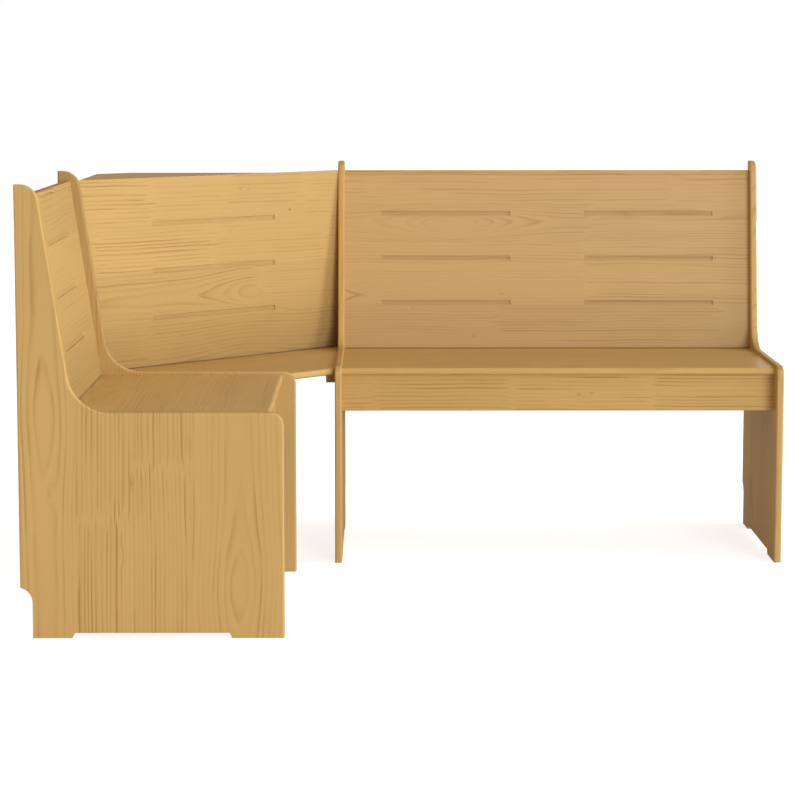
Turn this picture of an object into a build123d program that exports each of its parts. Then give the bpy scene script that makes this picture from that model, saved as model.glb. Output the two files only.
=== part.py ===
from build123d import *
from dataclasses import dataclass
from math import cos, radians, sin, sqrt, tan
import os

os.makedirs("parts", exist_ok=True)

# Solid pine corner bench: a long and a short bench at right angles, and a corner seat between them
# with a slanting back and a small shelf behind it. Millimetres, +Z up, floor at zero.

# Plan, measured along the two walls
long_bench_length = 965
short_bench_length = 635
panel_depth = 495
corner_gap = 80

# Boards
board = 15
edge_radius = 4
nosing_radius = 6
ease_radius = 2
edge_flat = 0.5

# End panel profile
panel_height = 850
crest_depth = 41
crest_radius = 35
back_angle = 8.5
crook_radius = 76
panel_rise = 6.5
front_top_radius = 25
rear_foot = 73.5
front_foot = 98
relief_height = 10
relief_run = 5
notch_inset = 23
notch_height = 96.5
notch_radius = 28

# Seats and the rails under them
seat_height = 421
seat_setback = 28
seat_tail = 12
apron_height = 80
apron_setback = 15

# Backrests
back_drop = 21
back_reveal = 18
cap_height = 11
cap_depth = 27
cap_lip = 1
long_seat_count = 2
short_seat_count = 1
groove_rows = 3
groove_lift = 3
groove_width = 10.5
groove_depth = 3
bench_groove = 297
corner_groove = 357

# Corner backrest and shelf
corner_inset = 41.5
shelf_drop = 6
shelf_inset = 25
shelf_chamfer = 70

# Cleats and battens
cleat = 20
back_cleat_lift = 10
back_cleat_drop = 112
batten_inset = 5
shelf_cleat_gap = 110

# Dowels and screws, which are drawn with few sides because there are so many of them
fastener_sides = 6
fit_gap = 0.15
end_gap = 0.5
dowel_radius = 4
dowel_skin = 6
dowel_grip = 21
dowel_edge = 20
screw_radius = 1.75
screw_head_radius = 3.5
screw_head_height = 2.2
screw_skin = 1
screw_edge = 40

# Plan lines: the bench stands in the corner of two walls, with its box centred on the origin
corner_span = panel_depth + corner_gap
wall_x = -(corner_span + long_bench_length) / 2
wall_y = (corner_span + short_bench_length) / 2
corner_x = wall_x + corner_span
corner_y = wall_y - corner_span

# Roundings are kept within the wall of the board
board_round = board / 2 - edge_flat
panel_edge = min(edge_radius, board_round)
nosing = min(nosing_radius, board_round)
ease = min(ease_radius, board_round)

# The leaning back of the benches: depth from the wall, height, and length up the slope
lean = radians(back_angle)
arm_line = seat_height + panel_rise
crook_depth = crest_depth + (panel_height - arm_line) * tan(lean)
back_top = panel_height - back_drop
back_foot = crest_depth + (panel_height - seat_height) * tan(lean) - back_reveal
back_slope = (back_top - seat_height) / cos(lean)
back_board = back_slope - cap_height
back_cleat_top = back_board - back_cleat_drop

# Seat boards and rails
seat_bottom = seat_height - board
seat_front = panel_depth - seat_setback
seat_rear = back_foot - board / cos(lean) - seat_tail
apron_rear = seat_front - apron_setback - board
apron_bottom = seat_bottom - apron_height
seat_cleat_rear = seat_rear + board
seat_cleat_middle = seat_bottom - cleat / 2

# Corner backrest: it meets both inner panels on the corner side, at 45 degrees to each
diagonal = sqrt(2)
corner_rear_inset = corner_inset - board * diagonal
corner_rise = back_top - seat_height
shelf_bottom = back_top - shelf_drop - board
corner_mirror = Plane((wall_x, wall_y, 0), z_dir=(1, 1, 0))
corner_front_ends = [(wall_x + corner_inset, corner_y), (corner_x, wall_y - corner_inset)]
corner_rear_ends = [(wall_x + corner_rear_inset, corner_y), (corner_x, wall_y - corner_rear_inset)]
corner_rear_middle = [sum(pair) / 2 for pair in zip(*corner_rear_ends)]
corner_front_middle = [sum(pair) / 2 for pair in zip(*corner_front_ends)]
corner_rear_length = (corner_span - corner_rear_inset) * diagonal
shelf_cleat_length = corner_rear_length - 2 * (cleat * diagonal + shelf_cleat_gap)

# Fasteners: dowels and screws stop short of the far face of the board they enter
dowel_seat = board - dowel_skin
dowel_length = dowel_seat + dowel_grip
screw_bite = board / 2 - screw_skin


@dataclass
class Bench:
    """One straight bench, measured in depth from the wall, height, and station along its length."""

    name: str
    length: float
    seat_count: int
    start: tuple
    depth_dir: tuple
    run_dir: tuple
    end_names: tuple

    @property
    def inner(self):
        """Clear length between the end panels."""
        return self.length - 2 * board

    def section(self, station):
        """Upright plane across the bench: x is depth from the wall and y is height."""
        origin = Vector(*self.start) + Vector(*self.run_dir) * station
        return Plane(origin, x_dir=self.depth_dir, z_dir=self.run_dir)

    def ends(self):
        """Each end's name, its panel's first station, its inner face and the way that face looks."""
        last = self.length - board
        return [(self.end_names[0], 0, board, 1), (self.end_names[1], last, last, -1)]

    def place(self, station, spot, facing):
        """A spot on a cross plane, its axis looking along the bench (1) or back (-1)."""
        plane = self.section(station)
        return Plane(plane.from_local_coords((*spot, 0)), x_dir=plane.x_dir, z_dir=plane.z_dir * facing)

    def inner_places(self, spots):
        """The spots on the inner faces of both end panels, looking into the bench."""
        return [self.place(face, spot, facing) for _, _, face, facing in self.ends() for spot in spots]


long_bench = Bench(
    name="long_bench",
    length=long_bench_length,
    seat_count=long_seat_count,
    start=(corner_x + long_bench_length, wall_y, 0),
    depth_dir=(0, -1, 0),
    run_dir=(-1, 0, 0),
    end_names=("right", "left"),
)
short_bench = Bench(
    name="short_bench",
    length=short_bench_length,
    seat_count=short_seat_count,
    start=(wall_x, corner_y, 0),
    depth_dir=(1, 0, 0),
    run_dir=(0, -1, 0),
    end_names=("rear", "front"),
)
benches = [long_bench, short_bench]


def on_back(out, up):
    """Depth and height of a point given out from the backrest's front face and up along it."""
    depth = back_foot + out * cos(lean) - up * sin(lean)
    height = seat_height + out * sin(lean) + up * cos(lean)
    return depth, height


# Fastener spots on an end panel, as depth and height
dowel_heights = [apron_bottom + dowel_edge, seat_bottom - dowel_edge]
apron_dowels = [(apron_rear + board / 2, height) for height in dowel_heights]
rail_dowels = [(seat_rear + board / 2, height) for height in dowel_heights]
seat_screw_depths = [seat_cleat_rear + screw_edge, apron_rear - screw_edge]
seat_cleat_screws = [(depth, seat_cleat_middle) for depth in seat_screw_depths]
back_screw_rises = [back_cleat_lift + screw_edge, back_cleat_top - screw_edge]
back_cleat_screws = [on_back(-board - cleat / 2, rise) for rise in back_screw_rises]
batten_middle = (batten_inset + corner_rear_inset) / 2
batten_screw_heights = [seat_bottom + screw_edge, shelf_bottom - screw_edge]
batten_screws = [(batten_middle, height) for height in batten_screw_heights]


def keep(piece, name):
    """Label a finished piece and write it."""
    piece.part.label = name
    export_step(piece.part, f"parts/{name}.step")


def round_section(places, radius):
    """Section of a dowel, a screw or its hole at each place, its flats at the given radius."""
    with BuildSketch(*places) as section:
        RegularPolygon(radius, fastener_sides, major_radius=False)
    return section.sketch


def drill(places, radius, depth):
    """Blind holes with fitting room, from each place against its axis."""
    extrude(round_section(places, radius + fit_gap), amount=-depth - end_gap, mode=Mode.SUBTRACT)


def pierce(places):
    """Clearance holes through a cleat that stands on the given places."""
    extrude(round_section(places, screw_radius + fit_gap), amount=cleat, mode=Mode.SUBTRACT)


# End panels
def make_panel(bench, first, inner_spots, outer_spots):
    """End panel: the side profile of the bench, drilled on its inner and outer faces."""
    front_corner = (panel_depth, arm_line)
    crook = (crook_depth, arm_line)
    crest = (crest_depth, panel_height)
    roundings = {front_corner: front_top_radius, crook: crook_radius, crest: crest_radius}
    relief_rear = notch_inset + rear_foot
    relief_front = panel_depth - front_foot
    with BuildPart() as panel:
        with BuildSketch(bench.section(first)):
            with BuildLine():
                Polyline(
                    (0, 0),
                    (relief_rear, 0),
                    (relief_rear + relief_run, relief_height),
                    (relief_front - relief_run, relief_height),
                    (relief_front, 0),
                    (panel_depth, 0),
                    front_corner,
                    crook,
                    crest,
                    (0, panel_height),
                    close=True,
                )
            make_face()
            for corner, radius in roundings.items():
                fillet(vertices().sort_by_distance(corner)[0], radius)
            with Locations((notch_inset, -notch_radius)):
                RectangleRounded(
                    notch_inset + 2 * notch_radius,
                    notch_height + notch_radius,
                    notch_radius,
                    align=(Align.MAX, Align.MIN),
                    mode=Mode.SUBTRACT,
                )
        extrude(amount=board)
        outlines = panel.faces().filter_by(Axis((0, 0, 0), bench.run_dir)).edges()
        fillet(outlines.filter_by_position(Axis.Z, notch_height, panel_height), panel_edge)
        inner_face, facing = (board, 1) if first == 0 else (first, -1)
        outer_face = 0 if first == 0 else first + board
        dowel_places = [bench.place(inner_face, spot, facing) for spot in apron_dowels + rail_dowels]
        drill(dowel_places, dowel_radius, dowel_seat)
        screw_places = [bench.place(inner_face, spot, facing) for spot in inner_spots]
        screw_places += [bench.place(outer_face, spot, -facing) for spot in outer_spots]
        drill(screw_places, screw_radius, screw_bite)
    return panel


# Boards of a bench
def make_seat(bench):
    """Seat board with a rounded nosing."""
    with BuildPart() as seat:
        with BuildSketch(bench.section(board)):
            with Locations((seat_rear, seat_bottom)):
                Rectangle(seat_front - seat_rear, board, align=(Align.MIN, Align.MIN))
            fillet(vertices().group_by(Axis.X)[-1], nosing)
        extrude(amount=bench.inner)
    return seat


def make_rail(bench, rear, dowels):
    """Apron or rear rail under the seat, drilled at both ends for dowels."""
    with BuildPart() as rail:
        with BuildSketch(bench.section(board)):
            with Locations((rear, apron_bottom)):
                Rectangle(board, apron_height, align=(Align.MIN, Align.MIN))
            fillet(vertices().group_by(Axis.Y)[0], ease)
        extrude(amount=bench.inner)
        ends = [Plane(place.origin, place.x_dir, -place.z_dir) for place in bench.inner_places(dowels)]
        drill(ends, dowel_radius, dowel_grip)
    return rail


def make_backrest(bench):
    """Leaning backrest board, its foot cut level with the seat and its face grooved."""
    with BuildPart() as backrest:
        with BuildSketch(bench.section(board)):
            with BuildLine():
                Polyline(
                    on_back(0, 0),
                    on_back(0, back_board),
                    on_back(-board, back_board),
                    on_back(-board, board * tan(lean)),
                    close=True,
                )
            make_face()
            fillet(vertices().sort_by_distance(on_back(0, 0))[0], ease)
        extrude(amount=bench.inner)
        middle = bench.section(bench.length / 2)
        face_normal = middle.x_dir * cos(lean) + middle.y_dir * sin(lean)
        face_middle = middle.from_local_coords((*on_back(0, back_slope / 2 + groove_lift), 0))
        with BuildSketch(Plane(face_middle, x_dir=-middle.z_dir, z_dir=face_normal)):
            column_step = bench.inner / bench.seat_count
            row_step = back_slope / (groove_rows + 1)
            with GridLocations(column_step, row_step, bench.seat_count, groove_rows):
                Rectangle(bench_groove, groove_width)
        extrude(amount=-groove_depth, mode=Mode.SUBTRACT)
    return backrest


def make_cap(bench):
    """Cap strip on the top edge of the backrest."""
    with BuildPart() as cap:
        with BuildSketch(bench.section(board)):
            with BuildLine():
                Polyline(
                    on_back(cap_lip, back_board),
                    on_back(cap_lip, back_slope),
                    on_back(cap_lip - cap_depth, back_slope),
                    on_back(cap_lip - cap_depth, back_board),
                    close=True,
                )
            make_face()
            fillet(vertices(), ease)
        extrude(amount=bench.inner)
    return cap


# Cleats on the panels
def make_seat_cleat(bench, station, facing):
    """Cleat under a seat, on the panel face at the station."""
    with BuildPart() as seat_cleat:
        with BuildSketch(bench.section(station)):
            with Locations((seat_cleat_rear, seat_cleat_middle)):
                Rectangle(apron_rear - seat_cleat_rear, cleat, align=(Align.MIN, Align.CENTER))
        extrude(amount=cleat * facing)
        pierce([bench.place(station, spot, facing) for spot in seat_cleat_screws])
    return seat_cleat


def make_back_cleat(bench, station, facing):
    """Leaning cleat behind a backrest, on the panel face at the station."""
    with BuildPart() as back_cleat:
        with BuildSketch(bench.section(station)):
            with BuildLine():
                Polyline(
                    on_back(-board, back_cleat_lift),
                    on_back(-board, back_cleat_top),
                    on_back(-board - cleat, back_cleat_top),
                    on_back(-board - cleat, back_cleat_lift),
                    close=True,
                )
            make_face()
        extrude(amount=cleat * facing)
        pierce([bench.place(station, spot, facing) for spot in back_cleat_screws])
    return back_cleat


# Fasteners
def make_dowels(bench):
    """Dowels that tie the apron and the rear rail to the end panels."""
    places = bench.inner_places(apron_dowels + rail_dowels)
    bottoms = [place.offset(-dowel_seat) for place in places]
    with BuildPart() as dowels:
        extrude(round_section(bottoms, dowel_radius), amount=dowel_length)
    return dowels


def make_screws(places):
    """Flat-headed screws through cleats that stand on the given places."""
    tops = [place.offset(cleat) for place in places]
    with BuildPart() as screws:
        extrude(round_section(tops, screw_radius), amount=-cleat - screw_bite)
        extrude(round_section(tops, screw_head_radius), amount=screw_head_height)
    return screws


# The two benches, and the places where the corner hangs on their inner panels
corner_spots = seat_cleat_screws + batten_screws
inner_spots = seat_cleat_screws + back_cleat_screws
corner_ends = {"right": (long_bench, long_bench_length, 1), "left": (short_bench, 0, -1)}
for bench in benches:
    for end, first, face, facing in bench.ends():
        outer_spots = corner_spots if end in ("left", "rear") else []
        keep(make_panel(bench, first, inner_spots, outer_spots), f"{bench.name}_{end}_panel")
        keep(make_seat_cleat(bench, face, facing), f"{bench.name}_{end}_seat_cleat")
        keep(make_back_cleat(bench, face, facing), f"{bench.name}_{end}_back_cleat")
    keep(make_seat(bench), f"{bench.name}_seat")
    keep(make_rail(bench, apron_rear, apron_dowels), f"{bench.name}_apron")
    keep(make_rail(bench, seat_rear, rail_dowels), f"{bench.name}_rear_rail")
    keep(make_backrest(bench), f"{bench.name}_backrest")
    keep(make_cap(bench), f"{bench.name}_back_cap")
    keep(make_dowels(bench), f"{bench.name}_dowels")
    keep(make_screws(bench.inner_places(inner_spots)), f"{bench.name}_screws")

# Corner seat: its front edge runs at 45 degrees between the panels' fronts
with BuildPart() as corner_seat:
    with BuildSketch(Plane.XY.offset(seat_bottom)):
        with BuildLine():
            Polyline(
                (wall_x + seat_front, corner_y),
                (corner_x, wall_y - seat_front),
                corner_rear_ends[1],
                corner_rear_ends[0],
                close=True,
            )
        make_face()
    extrude(amount=board)
    long_edges = corner_seat.edges().filter_by(Axis((0, 0, 0), (1, 1, 0)))
    fillet(long_edges.sort_by(Axis((0, 0, 0), (1, -1, 0)))[-2:], nosing)
keep(corner_seat, "corner_seat")

# Corner backrest: an upright board across the corner, its ends cut to lie on the panels
with BuildPart() as corner_backrest:
    with BuildSketch(Plane.XY.offset(seat_height)):
        with BuildLine():
            Polyline(*corner_front_ends, corner_rear_ends[1], corner_rear_ends[0], close=True)
        make_face()
    extrude(amount=corner_rise)
    foot_edges = corner_backrest.edges().group_by(Axis.Z)[0].filter_by(Axis((0, 0, 0), (1, 1, 0)))
    fillet(foot_edges.sort_by(Axis((0, 0, 0), (1, -1, 0)))[-1], ease)
    groove_middle = (*corner_front_middle, seat_height + corner_rise / 2 + groove_lift)
    with BuildSketch(Plane(groove_middle, x_dir=(1, 1, 0), z_dir=(1, -1, 0))):
        with GridLocations(corner_groove, corner_rise / (groove_rows + 1), 1, groove_rows):
            Rectangle(corner_groove, groove_width)
    extrude(amount=-groove_depth, mode=Mode.SUBTRACT)
    shelf_cleat_level = shelf_bottom - cleat / 2
    rear_middle = Plane((*corner_rear_middle, shelf_cleat_level), x_dir=(1, 1, 0), z_dir=(-1, 1, 0))
    shelf_screw_reach = shelf_cleat_length / 2 - screw_edge
    shelf_screws = [rear_middle.from_local_coords((side * shelf_screw_reach, 0, 0)) for side in (-1, 1)]
    shelf_places = [Plane(origin, rear_middle.x_dir, rear_middle.z_dir) for origin in shelf_screws]
    drill(shelf_places, screw_radius, screw_bite)
keep(corner_backrest, "corner_backrest")

# Corner shelf: the triangle behind the backrest, clear of both walls, its rear corner cut off
with BuildPart() as corner_shelf:
    with BuildSketch(Plane.XY.offset(shelf_bottom)):
        with Locations((corner_x, corner_y)):
            Rectangle(corner_span - shelf_inset, corner_span - shelf_inset, align=(Align.MAX, Align.MIN))
        chamfer(vertices().sort_by_distance((wall_x, wall_y))[0], shelf_chamfer)
        with BuildLine():
            Polyline(*corner_rear_ends, (corner_x, corner_y), close=True)
        make_face(mode=Mode.SUBTRACT)
    extrude(amount=board)
keep(corner_shelf, "corner_shelf")

# Shelf cleat: along the rear face of the corner backrest
with BuildPart() as corner_shelf_cleat:
    with BuildSketch(rear_middle):
        Rectangle(shelf_cleat_length, cleat)
    extrude(amount=cleat)
    pierce(shelf_places)
keep(corner_shelf_cleat, "corner_shelf_cleat")

# Bevelled battens: each fills the angle between an inner panel and the rear of the corner backrest
with BuildPart() as corner_left_batten:
    with BuildSketch(Plane.XY.offset(seat_bottom)):
        with Locations((wall_x + batten_inset, corner_y)):
            Rectangle(corner_rear_inset + cleat - batten_inset, cleat, align=(Align.MIN, Align.MIN))
        with BuildLine():
            Polyline(*corner_rear_ends, (corner_x, corner_y), close=True)
        make_face(mode=Mode.SUBTRACT)
    extrude(amount=shelf_bottom - seat_bottom)
    pierce([short_bench.place(0, spot, -1) for spot in batten_screws])
keep(corner_left_batten, "corner_left_batten")

with BuildPart() as corner_right_batten:
    mirror(corner_left_batten.part, about=corner_mirror)
keep(corner_right_batten, "corner_right_batten")

corner_screw_places = list(shelf_places)
for end, (bench, station, facing) in corner_ends.items():
    keep(make_seat_cleat(bench, station, facing), f"corner_{end}_seat_cleat")
    corner_screw_places += [bench.place(station, spot, facing) for spot in corner_spots]
keep(make_screws(corner_screw_places), "corner_screws")
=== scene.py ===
import logging
from dataclasses import dataclass, replace
from enum import Enum
from math import cos, radians, sin, tau
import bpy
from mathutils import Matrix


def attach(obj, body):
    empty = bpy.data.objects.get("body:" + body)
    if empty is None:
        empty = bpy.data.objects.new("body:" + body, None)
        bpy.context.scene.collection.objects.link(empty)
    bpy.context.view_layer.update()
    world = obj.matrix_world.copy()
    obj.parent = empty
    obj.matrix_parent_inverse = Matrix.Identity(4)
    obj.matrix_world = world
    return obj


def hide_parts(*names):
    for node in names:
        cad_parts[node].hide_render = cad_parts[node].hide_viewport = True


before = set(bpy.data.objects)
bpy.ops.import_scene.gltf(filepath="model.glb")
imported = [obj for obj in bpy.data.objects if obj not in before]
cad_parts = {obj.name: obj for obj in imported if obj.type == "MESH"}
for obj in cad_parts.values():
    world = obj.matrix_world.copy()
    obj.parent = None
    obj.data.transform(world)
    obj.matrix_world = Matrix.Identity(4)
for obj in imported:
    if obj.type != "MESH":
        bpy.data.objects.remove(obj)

from zlib import crc32

import bpy
import numpy as np
from mathutils import Matrix, Vector

LOG = logging.getLogger("corner_bench")
BODY = "root"
LEAN = radians(8.5)
HALF_ROOT = 0.5 ** 0.5
SHARP_ANGLE = radians(40)
TOP_LEVEL, SRGB_OFFSET, SRGB_POWER = 255, 0.055, 2.4
Pair = tuple[float, float]
Triple = tuple[float, float, float]
Node = bpy.types.Node
Socket = bpy.types.NodeSocket
Value = float | tuple | Socket


class Direction(Enum):
    """Directions of the shared frame that boards run along or look to."""

    RIGHT = (1.0, 0.0, 0.0)
    LEFT = (-1.0, 0.0, 0.0)
    BACK = (0.0, 1.0, 0.0)
    FRONT = (0.0, -1.0, 0.0)
    UP = (0.0, 0.0, 1.0)
    DIAGONAL = (HALF_ROOT, HALF_ROOT, 0.0)
    INTO_ROOM = (HALF_ROOT, -HALF_ROOT, 0.0)
    LONG_LEAN = (0.0, -cos(LEAN), sin(LEAN))
    LONG_SLOPE = (0.0, sin(LEAN), cos(LEAN))
    SHORT_LEAN = (cos(LEAN), 0.0, sin(LEAN))
    SHORT_SLOPE = (-sin(LEAN), 0.0, cos(LEAN))

    @property
    def vector(self) -> Vector:
        """The direction as a unit vector."""
        return Vector(self.value)


class Graph:
    """Short calls that add nodes to one node tree and link them."""

    NUMBER_RESULTS = ("DOT_PRODUCT", "LENGTH")

    # Places of factor, first and second colour among a Mix node's inputs, and of the colour it gives
    MIX_INPUTS, MIX_OUTPUT = (0, 6, 7), 2

    def __init__(self, tree: bpy.types.NodeTree) -> None:
        """Keep the node tree that gets the nodes."""
        self.tree = tree

    def node(self, kind: str, *values: Value, **settings: object) -> Node:
        """Add one node.

        Args:
            kind: Blender's name of the node type, without its prefix.
            values: What its first inputs get, in their order.
            settings: Properties to set on the node.

        Returns:
            The new node.
        """
        made = self.tree.nodes.new(kind if kind.startswith("NodeGroup") else f"ShaderNode{kind}")
        for name, setting in settings.items():
            setattr(made, name, setting)
        for socket, value in zip(made.inputs, values):
            self.feed(socket, value)
        return made

    def feed(self, socket: Socket, value: Value) -> None:
        """Link a socket to another, or set its own value.

        Args:
            socket: The input to fill.
            value: An output socket, a number or a tuple.
        """
        if isinstance(value, Socket):
            self.tree.links.new(value, socket)
        elif socket.type == "RGBA":
            socket.default_value = (*value, 1.0)
        else:
            socket.default_value = value

    def fill(self, node: Node, values: dict[str, Value]) -> Node:
        """Feed several inputs of a node.

        Args:
            node: The node.
            values: A value per input name.

        Returns:
            The same node.
        """
        for name, value in values.items():
            self.feed(node.inputs[name], value)
        return node

    def math(self, operation: str, *values: Value, clamp: bool = False) -> Socket:
        """The result of a Math node, held between 0 and 1 if clamp is set."""
        return self.node("Math", *values, operation=operation, use_clamp=clamp).outputs[0]

    def times(self, first: Value, second: Value) -> Socket:
        """The product of two numbers."""
        return self.math("MULTIPLY", first, second)

    def times_plus(self, first: Value, second: Value, added: Value) -> Socket:
        """The product of two numbers, plus a third."""
        return self.math("MULTIPLY_ADD", first, second, added)

    def vector(self, operation: str, *values: Value) -> Socket:
        """The result of a Vector Math node, a number or a vector."""
        made = self.node("VectorMath", *values, operation=operation)
        return made.outputs["Value" if operation in self.NUMBER_RESULTS else "Vector"]

    def split(self, vector: Value) -> list[Socket]:
        """The three parts of a vector."""
        return list(self.node("SeparateXYZ", vector).outputs)

    def join(self, *parts: Value) -> Socket:
        """A vector from three parts."""
        return self.node("CombineXYZ", *parts).outputs[0]

    def remap(self, value: Value, low: float, high: float, to_low: Value = 0.0, to_high: Value = 1.0,
              smooth: bool = True) -> Socket:
        """Carry a value from one range to another, held at both ends, and eased there if smooth is set."""
        ease = "SMOOTHSTEP" if smooth else "LINEAR"
        return self.node("MapRange", value, low, high, to_low, to_high, interpolation_type=ease).outputs[0]

    def noise(self, vector: Value, scale: Triple, detail: float = 1.0) -> Socket:
        """Noise between 0 and 1, stretched by a scale per axis.

        Args:
            vector: Where to read it.
            scale: Waves per metre along each axis.
            detail: Octaves on top of the first.

        Returns:
            The noise value.
        """
        made = self.node("TexNoise", noise_dimensions="3D")
        self.fill(made, {"Vector": self.vector("MULTIPLY", vector, scale), "Scale": 1.0, "Detail": detail})
        return made.outputs[0]

    def stray(self, base: Value, vector: Value, scale: Triple, strength: float, *detail: float) -> Socket:
        """A value changed by noise, whose strength is the span from the lowest to the highest change."""
        around_zero = self.math("SUBTRACT", self.noise(vector, scale, *detail), 0.5)
        return self.times_plus(around_zero, strength, base)

    def mix(self, factor: Value, first: Value, second: Value) -> Socket:
        """Mix two colours.

        Args:
            factor: Share of the second colour.
            first: The first colour.
            second: The second colour.

        Returns:
            The mixed colour.
        """
        made = self.node("Mix", data_type="RGBA")
        for number, value in zip(self.MIX_INPUTS, (factor, first, second)):
            self.feed(made.inputs[number], value)
        return made.outputs[self.MIX_OUTPUT]

    def table(self, share: Value, starts: list[float], rows: list[Triple]) -> Socket:
        """A stepped table: each row holds from its start to the next one.

        Args:
            share: Where to read, from 0 to 1.
            starts: Where each row starts.
            rows: Three numbers from 0 to 1 per row.

        Returns:
            The row in force, as a colour that carries the three numbers.
        """
        made = self.node("ValToRGB", share)
        ramp = made.color_ramp
        ramp.interpolation = "CONSTANT"
        while len(ramp.elements) > 1:
            ramp.elements.remove(ramp.elements[-1])
        for number, (start, row) in enumerate(zip(starts, rows)):
            step = ramp.elements.new(start) if number else ramp.elements[0]
            step.position = start
            step.color = (*row, 1.0)
        return made.outputs[0]


def mesh_points(mesh: bpy.types.Mesh) -> np.ndarray:
    """Read the corners of a mesh.

    Args:
        mesh: The mesh.

    Returns:
        One corner per row.
    """
    points = np.empty(len(mesh.vertices) * 3, np.float32)
    mesh.vertices.foreach_get("co", points)
    return points.reshape(-1, 3)


def empty_material(name: str) -> tuple[bpy.types.Material, Graph]:
    """Start a material.

    Args:
        name: Its name.

    Returns:
        The material without nodes, and its graph.
    """
    material = bpy.data.materials.new(name)
    material.use_nodes = True
    material.node_tree.nodes.clear()
    return material, Graph(material.node_tree)


@dataclass(frozen=True)
class Stave:
    """One glued strip of a board, and how the tree's growth rings pass through it, in metres.

    pith is the rings' centre across the board, depth its distance under the face, and eye the place along
    the fibres where it comes nearest to the face. Away from the eye it sinks by up to rise, half of that at
    the distance reach. ring is the width of a ring, line the force of its dark edge, phase the start of its
    random patterns, and tone the stave's lightness. The stave is glued from blocks along its length: one
    starts at cut, and the next ones have other rings, whose lines have the share rest of its force.
    """

    width: float
    pith: float
    phase: float
    line: float
    ring: float
    depth: float = 0.05
    eye: float = 0.0
    rise: float = 0.008
    reach: float = 0.3
    tone: float = 1.0
    block: float = 2.0
    cut: float = -1.0
    rest: float = 1.0


@dataclass(frozen=True)
class Knot:
    """A knot: its place along and across the fibres, its radius, and how dark its heart and rim are."""

    along: float
    across: float
    radius: float = 0.003
    dark: float = 0.2
    rim: float = 0.0


@dataclass(frozen=True)
class WoodFinish:
    """Colours of one kind of wood, linear, and the gloss and grain of its surface.

    early and late are the light and dark wood of a ring, heart that of a knot, and end_shade the tone of end
    grain, which above 1 is painted light that lifts the shade on the end walls of grooves. gloss and
    coat_rough belong to the lacquer, bump and grain_depth to the relief of the fibres.
    """

    name: str
    early: Triple
    late: Triple
    heart: Triple
    end_shade: float = 0.9
    rough: float = 0.5
    gloss: float = 0.12
    bump: float = 0.2
    coat_rough: float = 0.3
    grain_depth: float = 0.0005


@dataclass(frozen=True)
class MetalFinish:
    """A plated metal: its clear and dull colours, linear, its roughness, and the noise of its clouds."""

    name: str
    colour: Triple
    dull: Triple
    rough: float = 0.34
    rough_span: float = 0.2
    clouds: tuple[Triple, float] = ((900.0, 900.0, 900.0), 2.0)
    cloud_range: Pair = (0.35, 0.7)


def srgb(*levels: float) -> Triple:
    """A colour of screen levels from 11 to 255, made linear by the curve of the sRGB standard."""
    return tuple(((level / TOP_LEVEL + SRGB_OFFSET) / (1 + SRGB_OFFSET)) ** SRGB_POWER for level in levels)


HONEY_PINE = WoodFinish("honey_pine", srgb(208, 168, 104), srgb(158, 114, 58), srgb(150, 100, 48))
MATT_PINE = replace(HONEY_PINE, name="matt_pine", gloss=0.03)
PALE_PINE = WoodFinish("pale_pine", srgb(208, 172, 116), srgb(160, 120, 70), srgb(150, 104, 56))
# end_shade above 1 is painted light on end grain, lifting the shade on the end walls of grooves
SOFT_PINE = WoodFinish(
    "soft_pine", srgb(205, 169, 108), srgb(156, 114, 62), srgb(150, 100, 50), end_shade=1.25,
)
BATTEN_PINE = WoodFinish(
    "batten_pine", srgb(206, 170, 112), srgb(160, 118, 66), srgb(146, 98, 50),
    rough=0.6, gloss=0.1, bump=0.25,
)
BEECH = WoodFinish(
    "beech", srgb(200, 164, 122), srgb(176, 132, 92), srgb(150, 104, 70),
    end_shade=0.85, rough=0.62, gloss=0.1, bump=0.3,
)
ZINC = MetalFinish("zinc", srgb(196, 196, 190), srgb(150, 150, 146))


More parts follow.
